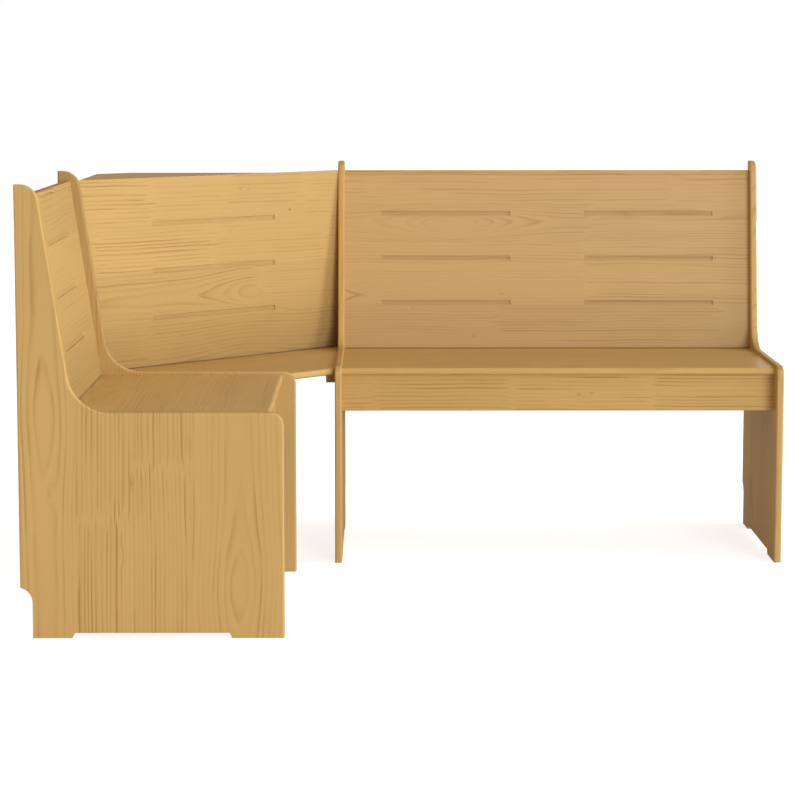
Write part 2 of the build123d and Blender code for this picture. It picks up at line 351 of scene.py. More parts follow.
class RingPattern:
    """The growth-ring pattern that all wood finishes share, as two node groups."""

    # Lowest value and span of the three numbers in each stave table
    PITH = ((-0.6, 0.0, -1.0), (1.2, 0.3, 2.0))
    COURSE = ((0.0, 0.02, 0.0), (0.08, 0.6, 1.0))
    LOOK = ((0.5, 0.0, 0.0), (1.0, 2.0, 0.02))
    BLOCKS = ((0.0, -1.0, 0.0), (2.0, 2.0, 1.0))

    # A noise is its waves per metre along each axis, its strength if it has one, and its octaves if not 1

    # Uneven ends of the blocks, and how far the next block's pith, phase and tone may differ
    BLOCK_ENDS = (1.0, 110.0, 1.0), 0.12
    JOINT_REACH, JOINT_LINE = 0.02, 0.1
    NEXT_PITH, NEXT_PHASE, NEXT_TONE = 0.14, 0.6, 0.02

    # The pith's wandering across and through the board, that of the rings, and their uneven widths
    SWAY = (3.1, 1.0, 1.0), 0.012
    HEAVE = (4.3, 1.7, 1.0), 0.006
    WANDER = (9.0, 46.0, 46.0), 0.0042, 2.0
    WIDTH_WAVES, WIDTH_CHANGE = 45.0, 0.8

    # A ring's darkness from its start to its end, its random force, and the places where its line is faint
    RING_PROFILE = ((0.0, 0.0), (0.25, 0.02), (0.5, 0.22), (0.7, 0.72), (0.83, 1.0), (0.94, 0.5), (1.0, 0.05))
    FORCE_LOW, FORCE_SPAN, FORCE_POWER = 0.3, 0.57, 1.5
    FADE, FADE_RANGE = ((4.5, 36.0, 36.0), 2.0), (0.38, 0.62, 0.3, 1.0)

    # Fine fibres, broad clouds and dark flecks, and what they and the lines do to tone, gloss and height
    FIBRE = (14.0, 620.0, 620.0), 1.0, 2.0
    CLOUD = (1.7, 11.0, 11.0), 0.12
    FLECKS, FLECK_RANGE = (22.0, 330.0, 330.0), (0.72, 0.8, 0.0, 0.2)
    END_GRAIN = (0.55, 0.95)
    FIBRE_TONE, FIBRE_ROUGH, FIBRE_HEIGHT = 0.1, 0.16, 0.8
    LINE_ROUGH, LINE_HEIGHT = 0.1, 0.6

    # Knots: size and lengths of the bulge in radii, the heart's edge, the rim's tails and its width in metres
    SWELL, SWELL_SPREAD, SWELL_STRETCH = 1.5, 1.7, 3.0
    HEART_STRETCH, HEART_EDGE = 1.8, (0.6, 1.1)
    HEART_RAGGED = (160.0, 260.0, 0.0), 0.8, 2.0
    RIM_STRETCH, RIM_TAIL, RIM_WIDTH = 2.0, (1.5, 6.0), 0.004

    # Factors on a stave's phase that keep its random patterns apart
    BLOCK_SEED, PLACE_SEED, SWAY_SEED, WIDTH_SEED, RING_SEED, FORCE_SEED = 53.0, 7.0, 41.0, 19.0, 40.0, 97.0

    def __init__(self) -> None:
        """Make both groups once."""
        self.rings = self._ring_group()
        self.knot = self._knot_group()

    @staticmethod
    def _group(name: str, inputs: dict[str, str], outputs: dict[str, str]) -> tuple[Graph, dict, Node]:
        """Start a node group.

        Args:
            name: Name of the group.
            inputs: Names of the inputs, parted by commas, per kind of socket.
            outputs: The same for the outputs.

        Returns:
            Its graph, its inputs by name, and its output node.
        """
        tree = bpy.data.node_groups.new(name, "ShaderNodeTree")
        for way, sockets in (("INPUT", inputs), ("OUTPUT", outputs)):
            for kind, titles in sockets.items():
                for title in titles.split(", "):
                    tree.interface.new_socket(title, in_out=way, socket_type=f"NodeSocket{kind}")
        graph = Graph(tree)
        entry = graph.node("NodeGroupInput")
        return graph, {socket.name: socket for socket in entry.outputs}, graph.node("NodeGroupOutput")

    @staticmethod
    def code(values: Triple, limits: tuple[Triple, Triple]) -> Triple:
        """Three numbers brought into the 0 to 1 range of a table row."""
        return tuple(float(np.clip((value - low) / span, 0, 1)) for value, low, span in zip(values, *limits))

    @staticmethod
    def _decode(g: Graph, row: Socket, limits: tuple[Triple, Triple]) -> list[Socket]:
        """The three numbers that a table row stands for."""
        low, span = limits
        return g.split(g.vector("MULTIPLY_ADD", row, span, low))

    def _ring_group(self) -> bpy.types.NodeTree:
        """Rings around a wandering pith: ring number = distance from the pith / ring width.

        The distance is the root of side squared + drop squared, where side is the offset across the board and
        drop is depth + rise * q / (1 + q), q being (distance along the fibres from the eye / reach) squared.
        Noise makes pith and rings wander, and a knot's bulge adds to the distance. Within a ring the wood
        goes slowly from light to dark and breaks off soon; each ring has its own random force. Every block
        along the stave but the one at its cut has its pith, phase and tone moved by random numbers. At the
        blocks' uneven ends the lines grow faint.

        Returns:
            The node group.
        """
        g, put, out = self._group(
            "wood_rings",
            {"Vector": "Board, Pith, Course, Look, Blocks", "Color": "Early, Late, Heart",
             "Float": "Bulge, Knot, End, End Shade, Rough, Tone"},
            {"Color": "Color", "Float": "Roughness, Height"},
        )
        board = put["Board"]
        along, across, through = g.split(board)
        pith, depth, eye = self._decode(g, put["Pith"], self.PITH)
        rise, reach, phase = self._decode(g, put["Course"], self.COURSE)
        tone, line, ring = self._decode(g, put["Look"], self.LOOK)
        length, cut, rest = self._decode(g, put["Blocks"], self.BLOCKS)

        uneven = g.stray(along, g.join(0.0, across, 0.0), *self.BLOCK_ENDS)
        turn = g.math("DIVIDE", g.math("SUBTRACT", uneven, cut), length)
        number = g.math("FLOOR", turn)
        to_joint = g.times(g.math("PINGPONG", turn, 0.5), length)
        joint = g.remap(to_joint, 0.0, self.JOINT_REACH, self.JOINT_LINE, 1.0)
        luck = g.node("TexWhiteNoise", noise_dimensions="1D")
        g.feed(luck.inputs["W"], g.times_plus(phase, self.BLOCK_SEED, number))
        other = g.math("ABSOLUTE", number, clamp=True)
        moved = g.vector("SUBTRACT", luck.outputs["Color"], (0.5, 0.5, 0.5))
        aside, later, lighter = g.split(g.vector("MULTIPLY", moved, g.join(other, other, other)))
        pith = g.times_plus(aside, self.NEXT_PITH, pith)
        phase = g.times_plus(later, self.NEXT_PHASE, phase)
        tone = g.times_plus(lighter, self.NEXT_TONE, tone)
        line = g.times(line, g.remap(other, 0.0, 1.0, 1.0, rest, smooth=False))
        apart = g.times(phase, self.PLACE_SEED)
        place = g.vector("ADD", board, g.join(apart, apart, apart))
        own_line = g.join(along, g.times(phase, self.SWAY_SEED), 0.0)

        side = g.math("SUBTRACT", g.math("SUBTRACT", across, pith), g.stray(0.0, own_line, *self.SWAY))
        run = g.math("ABSOLUTE", g.math("SUBTRACT", along, eye))
        away = g.math("POWER", g.math("DIVIDE", run, reach), 2.0)
        drop = g.times_plus(rise, g.math("DIVIDE", away, g.math("ADD", away, 1.0)), depth)
        drop = g.math("ADD", drop, g.stray(through, own_line, *self.HEAVE))
        far = g.stray(g.vector("LENGTH", g.join(side, drop, 0.0)), place, *self.WANDER)
        far = g.math("ADD", far, put["Bulge"])
        count = g.times_plus(phase, self.RING_SEED, g.math("DIVIDE", far, ring))
        widths = g.node("TexNoise", noise_dimensions="1D")
        reading = g.times_plus(phase, self.WIDTH_SEED, g.times(far, self.WIDTH_WAVES))
        g.fill(widths, {"W": reading, "Scale": 1.0, "Detail": 0.0})
        count = g.times_plus(widths.outputs[0], self.WIDTH_CHANGE, count)
        profile = g.node("FloatCurve")
        points = profile.mapping.curves[0].points
        first, *between, last = self.RING_PROFILE
        points[0].location, points[1].location = first, last
        for point in between:
            points.new(*point)
        profile.mapping.update()
        g.feed(profile.inputs["Value"], g.math("FRACT", count))
        chance = g.node("TexWhiteNoise", noise_dimensions="1D")
        g.feed(chance.inputs["W"], g.times_plus(phase, self.FORCE_SEED, g.math("FLOOR", count)))
        force = g.math("POWER", chance.outputs[0], self.FORCE_POWER)
        force = g.times_plus(force, self.FORCE_SPAN, self.FORCE_LOW)
        dark = g.times(profile.outputs[0], g.times(force, joint))
        fade = g.remap(g.noise(place, *self.FADE), *self.FADE_RANGE)
        dark = g.math("MULTIPLY", dark, g.times(fade, line), clamp=True)

        fibre = g.stray(0.0, board, *self.FIBRE)
        shade = g.stray(g.times_plus(fibre, self.FIBRE_TONE, tone), place, *self.CLOUD)
        # the board's own tone with its painted light and shade scales the wood, except on end grain
        shade = g.times(shade, g.remap(put["End"], *self.END_GRAIN, put["Tone"], put["End Shade"]))
        fleck = g.remap(g.noise(board, self.FLECKS), *self.FLECK_RANGE)
        colour = g.mix(g.math("MAXIMUM", dark, fleck), put["Early"], put["Late"])
        colour = g.mix(put["Knot"], colour, put["Heart"])
        rough = g.times_plus(fibre, self.FIBRE_ROUGH, put["Rough"])
        raised = g.times(dark, self.LINE_HEIGHT)
        g.fill(out, {
            "Color": g.vector("MULTIPLY", colour, g.join(shade, shade, shade)),
            "Roughness": g.times_plus(dark, self.LINE_ROUGH, rough),
            "Height": g.times_plus(fibre, self.FIBRE_HEIGHT, raised),
        })
        return g.tree

    def _knot_group(self) -> bpy.types.NodeTree:
        """One knot: a bulge that pushes the rings aside, a dark heart, and a thin dark rim with two tails.

        The bulge is radius * swell * exp(-(distance / (spread * radius)) squared), its distance drawn out
        along the fibres. The heart ends where the distance passes the radius. The rim lies where the offset
        across is radius * exp(-(offset along / (stretch * radius)) squared), so that it closes into a tail at
        both sides. All add to what comes in.

        Returns:
            The node group.
        """
        g, put, out = self._group(
            "wood_knot",
            {"Vector": "Board, Centre", "Float": "Radius, Dark, Rim, Bulge, Knot"},
            {"Float": "Bulge, Knot"},
        )
        radius = put["Radius"]
        along, across, _ = g.split(g.vector("SUBTRACT", put["Board"], put["Centre"]))
        far = g.vector("LENGTH", g.join(g.math("DIVIDE", along, self.SWELL_STRETCH), across, 0.0))
        share = g.math("DIVIDE", far, g.times(radius, self.SWELL_SPREAD))
        fall = g.math("EXPONENT", g.times(g.times(share, share), -1.0))
        swell = g.times(g.times(radius, self.SWELL), fall)
        near = g.vector("LENGTH", g.join(g.math("DIVIDE", along, self.HEART_STRETCH), across, 0.0))
        ragged = g.stray(g.math("DIVIDE", near, radius), put["Board"], *self.HEART_RAGGED)
        heart = g.times(g.remap(ragged, *self.HEART_EDGE, 1.0, 0.0), put["Dark"])
        tail_length = g.times(radius, self.RIM_STRETCH)
        bend = g.math("POWER", g.math("DIVIDE", g.math("ABSOLUTE", along), tail_length), 2.0)
        edge = g.times(radius, g.math("EXPONENT", g.times(bend, -1.0)))
        off = g.math("ABSOLUTE", g.math("SUBTRACT", g.math("ABSOLUTE", across), edge))
        tail = g.remap(bend, *self.RIM_TAIL, put["Rim"], 0.0)
        rim = g.times(g.remap(off, 0.0, self.RIM_WIDTH, 1.0, 0.0), tail)
        g.fill(out, {
            "Bulge": g.math("ADD", put["Bulge"], swell),
            "Knot": g.math("MAXIMUM", put["Knot"], g.math("MAXIMUM", heart, rim)),
        })
        return g.tree


class StaveLot:
    """Random staves for boards that have none listed: flat-cut ones and straight-lined ones."""

    WIDTH, WIDTH_CHANGE, TONE_CHANGE = 0.095, (0.85, 1.15), 0.025
    FLAT_SHARE, FLAT_ASIDE, STRAIGHT_ASIDE = 0.4, 0.012, (0.1, 0.22)
    FLAT = {"depth": (0.018, 0.045), "eye": (-0.35, 0.35), "rise": (0.012, 0.03), "reach": (0.08, 0.25)}
    STRAIGHT = FLAT | {"depth": (0.03, 0.09), "rise": (0.0, 0.012)}
    LINES = {"line": (0.55, 1.1), "ring": (0.006, 0.0095), "block": (0.3, 0.6), "cut": (-0.5, 0.1)}

    @classmethod
    def draw(cls, width: float, seed: int) -> tuple[Stave, ...]:
        """Draw the staves of one board.

        Args:
            width: Width of the board across its fibres.
            seed: Start of the random numbers.

        Returns:
            Its staves.
        """
        rng = np.random.default_rng(seed)
        widths = rng.uniform(*cls.WIDTH_CHANGE, max(1, round(width / cls.WIDTH)))
        widths *= width / widths.sum()
        middles = np.cumsum(widths) - widths / 2 - width / 2
        staves = []
        for strip, middle in zip(widths, middles):
            flat = rng.random() < cls.FLAT_SHARE
            if flat:
                aside = rng.normal(0, cls.FLAT_ASIDE)
            else:
                aside = rng.choice((-1, 1)) * rng.uniform(*cls.STRAIGHT_ASIDE)
            ranges = cls.FLAT if flat else cls.STRAIGHT
            course = {name: rng.uniform(*limits) for name, limits in ranges.items()}
            phase = rng.random()
            tone = rng.normal(1.0, cls.TONE_CHANGE)
            lines = {name: rng.uniform(*limits) for name, limits in cls.LINES.items()}
            staves.append(Stave(strip, middle + aside, **course, phase=phase, tone=tone, **lines))
        return tuple(staves)


@dataclass(frozen=True)
class Toning:
    """How a board's lightness and lines depart from its staves.

    all is the tone of the whole board and line the share of the staves' line force. The others are painted
    light and shade: groove darkens the floors of grooves and wall lightens their
    walls, foot is painted shade toward the lower edge, joint painted contact shade in the last few
    millimetres there, end painted shade toward the far end of the fibres, and edge a painted highlight on
    rounded edges.
    """

    all: float = 1.0
    groove: float = 1.0
    wall: float = 1.0
    foot: float = 1.0
    joint: float = 1.0
    end: float = 1.0
    edge: float = 1.0
    line: float = 1.0


@dataclass(frozen=True)
class Figure:
    """The look of one board: its staves and knots, its toning and its kind of wood."""

    staves: tuple[Stave, ...] = ()
    knots: tuple[Knot, ...] = ()
    toning: Toning = Toning()
    finish: WoodFinish = HONEY_PINE


@dataclass
class Board:
    """A wooden piece: the way its fibres run, the way its face looks, and its figure."""

    # Share of the width that the painted shade toward the lower edge covers, and the height of the painted
    # contact shade at that edge
    FOOT_SHARE, JOINT_HEIGHT = 0.45, 0.0045

    # Heights over the face between which the painted light and shade of grooves comes in, and goes out again
    # below them
    GROOVE_TOP, GROOVE_BOTTOM = (-0.0025, -0.0005), (-0.0036, -0.0031)

    # Cosines to the face: least one of the grooves' floors, and where the painted highlight on edges comes in
    # and goes out
    FLOOR_LEVEL, EDGE_SIDE, EDGE_FACE = 0.5, (0.15, 0.5), (0.8, 0.97)

    node: str
    fibre: Direction
    face: Direction
    figure: Figure

    def dress(self, obj: bpy.types.Object, pattern: RingPattern) -> None:
        """Give an object this board's own material.

        Args:
            obj: The object to dress.
            pattern: The shared ring pattern.
        """
        axes = Matrix((self.fibre.vector, self.face.vector.cross(self.fibre.vector), self.face.vector))
        local = mesh_points(obj.data) @ np.array(axes).T
        low, high = local.min(0), local.max(0)
        middle = np.append((low + high)[:2] / 2, high[2])
        length, width = (float(part) for part in (high - low)[:2])
        material = self._material(axes, middle, length, width, pattern)
        obj.data.materials.clear()
        obj.data.materials.append(material)
        LOG.info("dressed %s", obj.name)

    def _tone(self, g: Graph, board: Socket, length: float, width: float) -> Socket:
        """The board's own tone with its painted light and shade as one factor: painted shade on the grooves'
        floors, toward and at the lower edge and toward the far end of the fibres, painted light on the
        grooves' walls and a painted highlight on rounded edges.

        Args:
            g: The material's graph.
            board: Place in the board's own axes, its face at height 0.
            length: Length along the fibres.
            width: Width across the fibres.

        Returns:
            The factor.
        """
        toning = self.figure.toning
        normal = g.node("NewGeometry").outputs["Normal"]
        faced = g.vector("DOT_PRODUCT", normal, self.face.value)
        along, across, through = g.split(board)
        # painted shade toward the lower edge and painted contact shade at it, then the board's own tone with
        # painted shade toward the far end of the fibres
        rise = g.math("ADD", across, width / 2)
        tone = g.remap(rise, 0.0, width * self.FOOT_SHARE, toning.foot, 1.0)
        tone = g.times(tone, g.remap(rise, 0.0, self.JOINT_HEIGHT, toning.joint, 1.0))
        tone = g.times(tone, g.remap(along, -length / 2, length / 2, toning.all, toning.all * toning.end))
        # painted shade on the floors of grooves and painted light on their walls
        level = g.math("GREATER_THAN", faced, self.FLOOR_LEVEL)
        sunk = g.times_plus(level, toning.groove - toning.wall, toning.wall - 1)
        sunk = g.times(sunk, g.remap(through, *self.GROOVE_TOP, 1.0, 0.0))
        sunk = g.times_plus(sunk, g.remap(through, *self.GROOVE_BOTTOM), 1.0)
        # a painted highlight on rounded edges
        steep = g.math("ABSOLUTE", faced)
        rounded = g.remap(steep, *self.EDGE_FACE, toning.edge - 1, 0.0)
        rounded = g.times(g.remap(steep, *self.EDGE_SIDE), rounded)
        return g.times(g.times(tone, sunk), g.math("ADD", rounded, 1.0))

    def _material(self, axes: Matrix, middle: np.ndarray, length: float, width: float,
                  pattern: RingPattern) -> bpy.types.Material:
        """The board's material: its own axes, stave tables and knots around the shared rings.

        Args:
            axes: Rows of fibre, across and face directions.
            middle: Middle of the board's face in those axes.
            length: Length along the fibres.
            width: Width across the fibres.
            pattern: The shared ring pattern.

        Returns:
            The material.
        """
        finish = self.figure.finish
        material, g = empty_material(f"{finish.name}_{self.node}")
        mapping = g.node("Mapping", g.node("TexCoord").outputs["Object"])
        mapping.inputs["Location"].default_value = tuple(-float(part) for part in middle)
        mapping.inputs["Rotation"].default_value = axes.to_euler("XYZ")
        board = mapping.outputs[0]
        end = g.vector("DOT_PRODUCT", g.node("NewGeometry").outputs["Normal"], self.fibre.value)

        staves = self.figure.staves or StaveLot.draw(width, crc32(self.node.encode()))
        total = sum(stave.width for stave in staves)
        starts = [sum(stave.width for stave in staves[:number]) / total for number in range(len(staves))]
        share = g.remap(g.split(board)[1], -width / 2, width / 2, smooth=False)
        force, code = self.figure.toning.line, pattern.code
        tables = {
            "Pith": [code((stave.pith, stave.depth, stave.eye), pattern.PITH) for stave in staves],
            "Course": [code((stave.rise, stave.reach, stave.phase), pattern.COURSE) for stave in staves],
            "Look": [code((stave.tone, stave.line * force, stave.ring), pattern.LOOK) for stave in staves],
            "Blocks": [code((stave.block, stave.cut, stave.rest), pattern.BLOCKS) for stave in staves],
        }
        bulge, heart = 0.0, 0.0
        for knot in self.figure.knots:
            mark = g.node("Group", node_tree=pattern.knot)
            g.fill(mark, {"Board": board, "Centre": (knot.along, knot.across, 0.0), "Radius": knot.radius,
                          "Dark": knot.dark, "Rim": knot.rim, "Bulge": bulge, "Knot": heart})
            bulge, heart = mark.outputs
        rings = g.node("Group", node_tree=pattern.rings)
        g.fill(rings, {name: g.table(share, starts, rows) for name, rows in tables.items()})
        g.fill(rings, {
            "Board": board,
            "Bulge": bulge,
            "Knot": heart,
            "End": g.math("ABSOLUTE", end),
            "Early": finish.early,
            "Late": finish.late,
            "Heart": finish.heart,
            "End Shade": finish.end_shade,
            "Rough": finish.rough,
            "Tone": self._tone(g, board, length, width),
        })
        bump = g.fill(g.node("Bump"), {
            "Strength": finish.bump,
            "Distance": finish.grain_depth,
            "Height": rings.outputs["Height"],
        })
        shader = g.fill(g.node("BsdfPrincipled"), {
            "Base Color": rings.outputs["Color"],
            "Roughness": rings.outputs["Roughness"],
            "Normal": bump.outputs[0],
            "Specular IOR Level": 0.0,
            "Coat Weight": finish.gloss,
            "Coat Roughness": finish.coat_rough,
        })
        g.node("OutputMaterial", shader.outputs[0])
        return material


PLAIN = Figure()
CAP = Figure(finish=MATT_PINE)
PANEL = Figure(toning=Toning(line=0.7))
SEAT = Figure(toning=Toning(line=0.45))
BATTEN = Figure(finish=BATTEN_PINE)
Plan = dict[str, tuple[Direction, Direction, Figure]]


@dataclass
class Assembly:
    """Boards that belong together: the start of their names, and the figures listed for some of them."""

    name: str
    figures: dict[str, Figure]

    def plan(self) -> Plan:
        """Fibre direction, face direction and usual figure of each board."""
        raise NotImplementedError

    def dress(self, pattern: RingPattern) -> None:
        """Dress each board in its own figure or the usual one.

        Args:
            pattern: The shared ring pattern.
        """
        for part, (fibre, face, usual) in self.plan().items():
            board = Board(f"{self.name}_{part}", fibre, face, self.figures.get(part, usual))
            board.dress(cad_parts[board.node], pattern)


@dataclass
class Bench(Assembly):
    """One straight bench: its boards, cleats and rails."""

    run: Direction
    out: Direction
    lean: Direction
    slope: Direction
    panels: dict[str, Direction]

    def plan(self) -> Plan:
        """List the boards of a bench.

        Returns:
            Fibre direction, face direction and usual figure of each.
        """
        up = Direction.UP
        plan = {
            "seat": (self.run, up, SEAT),
            "apron": (self.run, self.out, PLAIN),
            "rear_rail": (self.run, self.out, BATTEN),
            "backrest": (self.run, self.lean, PLAIN),
            "back_cap": (self.run, self.lean, CAP),
        }
        for end, face in self.panels.items():
            plan[f"{end}_panel"] = (up, face, PANEL)
            plan[f"{end}_seat_cleat"] = (self.out, up, BATTEN)
            plan[f"{end}_back_cleat"] = (self.slope, self.lean, BATTEN)
        return plan


@dataclass
class Corner(Assembly):
    """The corner between the benches: seat, backrest, shelf and what holds them."""

    def plan(self) -> Plan:
        """List the boards of the corner.

        Returns:
            Fibre direction, face direction and usual figure of each.
        """
        along, up, room = Direction.DIAGONAL, Direction.UP, Direction.INTO_ROOM
        return {
            "seat": (along, up, SEAT),
            "backrest": (along, room, PLAIN),
            "shelf": (along, up, CAP),
            "shelf_cleat": (along, up, BATTEN),
            "left_batten": (up, room, BATTEN),
            "right_batten": (up, room, BATTEN),
            "left_seat_cleat": (Direction.RIGHT, up, BATTEN),
            "right_seat_cleat": (Direction.BACK, up, BATTEN),
        }


def closed_mesh(name: str, grids: list[np.ndarray]) -> bpy.types.Object:
    """Join grids of points into one mesh object at the origin.

    Each grid has rows along a path and columns round it. Neighbouring rows are joined by quads, the last
    column meets the first, and a fan to the middle of the first and last row closes the ends.

    Args:
        name: Name of the object.
        grids: Arrays of rows by columns by 3.

    Returns:
        The object, linked to the scene.
    """
    vertices, faces, start = [], [], 0
    for grid in grids:
        rows, columns, _ = grid.shape
        vertices.append(np.concatenate((grid.reshape(-1, 3), grid[:1].mean(1), grid[-1:].mean(1))))
        index = start + np.arange(rows * columns).reshape(rows, columns)
        after = np.roll(index, -1, axis=1)
        foot, top = start + rows * columns, start + rows * columns + 1
        faces += np.stack((index[:-1], after[:-1], after[1:], index[1:]), -1).reshape(-1, 4).tolist()
        faces += np.stack((after[0], index[0], np.full(columns, foot)), -1).tolist()
        faces += np.stack((index[-1], after[-1], np.full(columns, top)), -1).tolist()
        start = top + 1
    mesh = bpy.data.meshes.new(name)
    mesh.from_pydata(np.concatenate(vertices).tolist(), [], faces)
    mesh.shade_smooth()
    mesh.set_sharp_from_angle(angle=SHARP_ANGLE)
    obj = bpy.data.objects.new(name, mesh)
    bpy.context.scene.collection.objects.link(obj)
    return obj


@dataclass(frozen=True)
class Screw:
    """A wood screw with a domed head and a cross recess."""

    head_radius: float = 0.0035
    head_height: float = 0.0022
    rim: float = 0.0006
    shank_radius: float = 0.0015
    thread_radius: float = 0.00172
    core_radius: float = 0.0011
    pitch: float = 0.0017
    thread_length: float = 0.014
    tip_length: float = 0.003
    slot_half_width: float = 0.00045
    slot_reach: float = 0.0019
    slot_depth: float = 0.0011
    tip_height: float = 0.0002
    tip_share: float = 0.05
    neck: float = 0.0004
    dome_span: Pair = (0.06, 0.97)
    thread_rows: int = 42
    dome_rows: int = 14
    columns: int = 32

    def surface(self, length: float) -> np.ndarray:
        """Points of the screw, its tip at the origin and its head up.

        The thread's radius is a triangle wave of height / pitch - turn; it shrinks to the tip. The head is a
        quarter ellipse turned round the axis, pressed in where a point lies within one of two crossing slots.

        Args:
            length: From the tip to the top of the head.

        Returns:
            Rows by columns by 3.
        """
        turn = np.linspace(0, tau, self.columns, endpoint=False)[None, :]
        under = length - self.head_height
        climb = np.linspace(self.tip_height, self.thread_length, self.thread_rows)[:, None]
        ridge = np.abs((climb / self.pitch - turn / tau) % 1.0 * 2 - 1)
        thread = self.core_radius + (self.thread_radius - self.core_radius) * ridge
        thread = thread * np.clip(climb / self.tip_length, self.tip_share, 1.0)
        plain_height = np.array((self.thread_length + self.neck, under, under, under + self.rim))[:, None]
        plain_radius = np.repeat((self.shank_radius, self.head_radius), 2)[:, None]
        bow = np.linspace(*self.dome_span, self.dome_rows)[:, None] * tau / 4
        dome_radius = self.head_radius * np.cos(bow) + 0 * turn
        dome_height = under + self.rim + (self.head_height - self.rim) * np.sin(bow)
        sideways, onward = np.abs(dome_radius * np.cos(turn)), np.abs(dome_radius * np.sin(turn))
        first = (sideways < self.slot_half_width) & (onward < self.slot_reach)
        second = (onward < self.slot_half_width) & (sideways < self.slot_reach)
        dome_height = dome_height - self.slot_depth * (first | second)
        radius = np.concatenate((thread, plain_radius + 0 * turn, dome_radius))
        height = np.concatenate((climb + 0 * turn, plain_height + 0 * turn, dome_height))
        return np.stack((radius * np.cos(turn), radius * np.sin(turn), height), -1)


@dataclass(frozen=True)
class Dowel:
    """A fluted wooden dowel with chamfered ends."""

    radius: float = 0.00398
    flutes: int = 18
    flute_depth: float = 0.00025
    chamfer: float = 0.0009
    columns: int = 72

    def surface(self, length: float) -> np.ndarray:
        """Points of the dowel, one end at the origin.

        The radius falls by half the flute depth times 1 + cos(flutes * turn), and is smaller at both ends.

        Args:
            length: From end to end.

        Returns:
            Rows by columns by 3.
        """
        turn = np.linspace(0, tau, self.columns, endpoint=False)[None, :]
        height = np.array((0.0, self.chamfer, length / 2, length - self.chamfer, length))[:, None]
        cut = np.array((self.chamfer, 0.0, 0.0, 0.0, self.chamfer))[:, None]
        radius = self.radius - self.flute_depth / 2 * (1 + np.cos(self.flutes * turn)) - cut
        return np.stack((radius * np.cos(turn), radius * np.sin(turn), height + 0 * turn), -1)


@dataclass
class FastenerSet:
    """Round fasteners that stand for one CAD node of many small solids."""

    # Decimals in metres to which corners at one place agree
    PLACE_DIGITS = 6

    node: str
    shape: Screw | Dowel
    slot: str

    def solids(self) -> list[np.ndarray]:
        """Points of each separate solid of the node.

        Corners at one place count as one. Each takes the lowest label among its triangles until none changes.

        Returns:
            One array of points per solid.
        """
        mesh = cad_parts[self.node].data
        points = mesh_points(mesh).astype(float)
        corners = np.empty(len(mesh.loops), np.int32)
        mesh.loops.foreach_get("vertex_index", corners)
        same = np.unique(points.round(self.PLACE_DIGITS), axis=0, return_inverse=True)[1].reshape(-1)
        triangles = same[corners].reshape(-1, 3)
        label, before = np.arange(same.max() + 1), None
        while before is None or not np.array_equal(label, before):
            before = label.copy()
            np.minimum.at(label, triangles, before[triangles].min(1)[:, None])
            label = label[label]
        owner = label[same]
        return [points[owner == number] for number in np.unique(owner)]

    def build(self) -> bpy.types.Object:
        """Put the shape where each solid is: along the solid's longest axis, with the wider end up.

        Returns:
            The object that replaces the node.
        """
        grids = []
        for points in self.solids():
            middle = (points.min(0) + points.max(0)) / 2
            axis = np.linalg.svd(points - points.mean(0), full_matrices=False)[2][0]
            height = (points - middle) @ axis
            wide = np.linalg.norm(points - middle - height[:, None] * axis, axis=1)
            if wide[height > 0].max() < wide[height < 0].max():
                axis, height = -axis, -height
            aside = np.cross(axis, (0.0, 0.0, 1.0))
            aside /= np.linalg.norm(aside)
            basis = np.stack((aside, np.cross(axis, aside), axis))
            local = self.shape.surface(float(np.ptp(height)))
            grids.append(middle + axis * height.min() + local @ basis)
        piece = closed_mesh(f"{self.node}_round", grids)
        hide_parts(self.node)
        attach(piece, BODY)
        LOG.info("built %s with %d solids", piece.name, len(grids))
        return piece


def metal_material(finish: MetalFinish) -> bpy.types.Material:
    """A plated metal with a faint cloudy dullness.

    Args:
        finish: Its colours and gloss.

    Returns:
        The material.
    """
    material, g = empty_material(finish.name)
    cloud = g.noise(g.node("TexCoord").outputs["Object"], *finish.clouds)
    smoothest = finish.rough - finish.rough_span / 2
    shader = g.fill(g.node("BsdfPrincipled"), {
        "Base Color": g.mix(g.remap(cloud, *finish.cloud_range), finish.colour, finish.dull),
        "Roughness": g.times_plus(cloud, finish.rough_span, smoothest),
        "Metallic": 1.0,
    })
    g.node("OutputMaterial", shader.outputs[0])
    return material


@dataclass(frozen=True)
class Lamp:
    """A square soft lamp that looks at the bench: its place as angles, its distance, size and power."""

    name: str
    azimuth: float
    elevation: float
    power: float
    size: float = 5.5
    distance: float = 12.0

    def build(self, centre: Vector) -> None:
        """Hang the lamp so that it looks at a point.

        Args:
            centre: The point.
        """
        light = bpy.data.lights.new(self.name, "AREA")
        light.shape = "SQUARE"
        light.size = self.size
        light.energy = self.power
        turn, rise = radians(self.azimuth), radians(self.elevation)
        away = Vector((sin(turn) * cos(rise), -cos(turn) * cos(rise), sin(rise)))
        obj = bpy.data.objects.new(self.name, light)
        obj.location = centre + away * self.distance
        obj.rotation_euler = (-away).to_track_quat("-Z", "Y").to_euler()
        bpy.context.scene.collection.objects.link(obj)


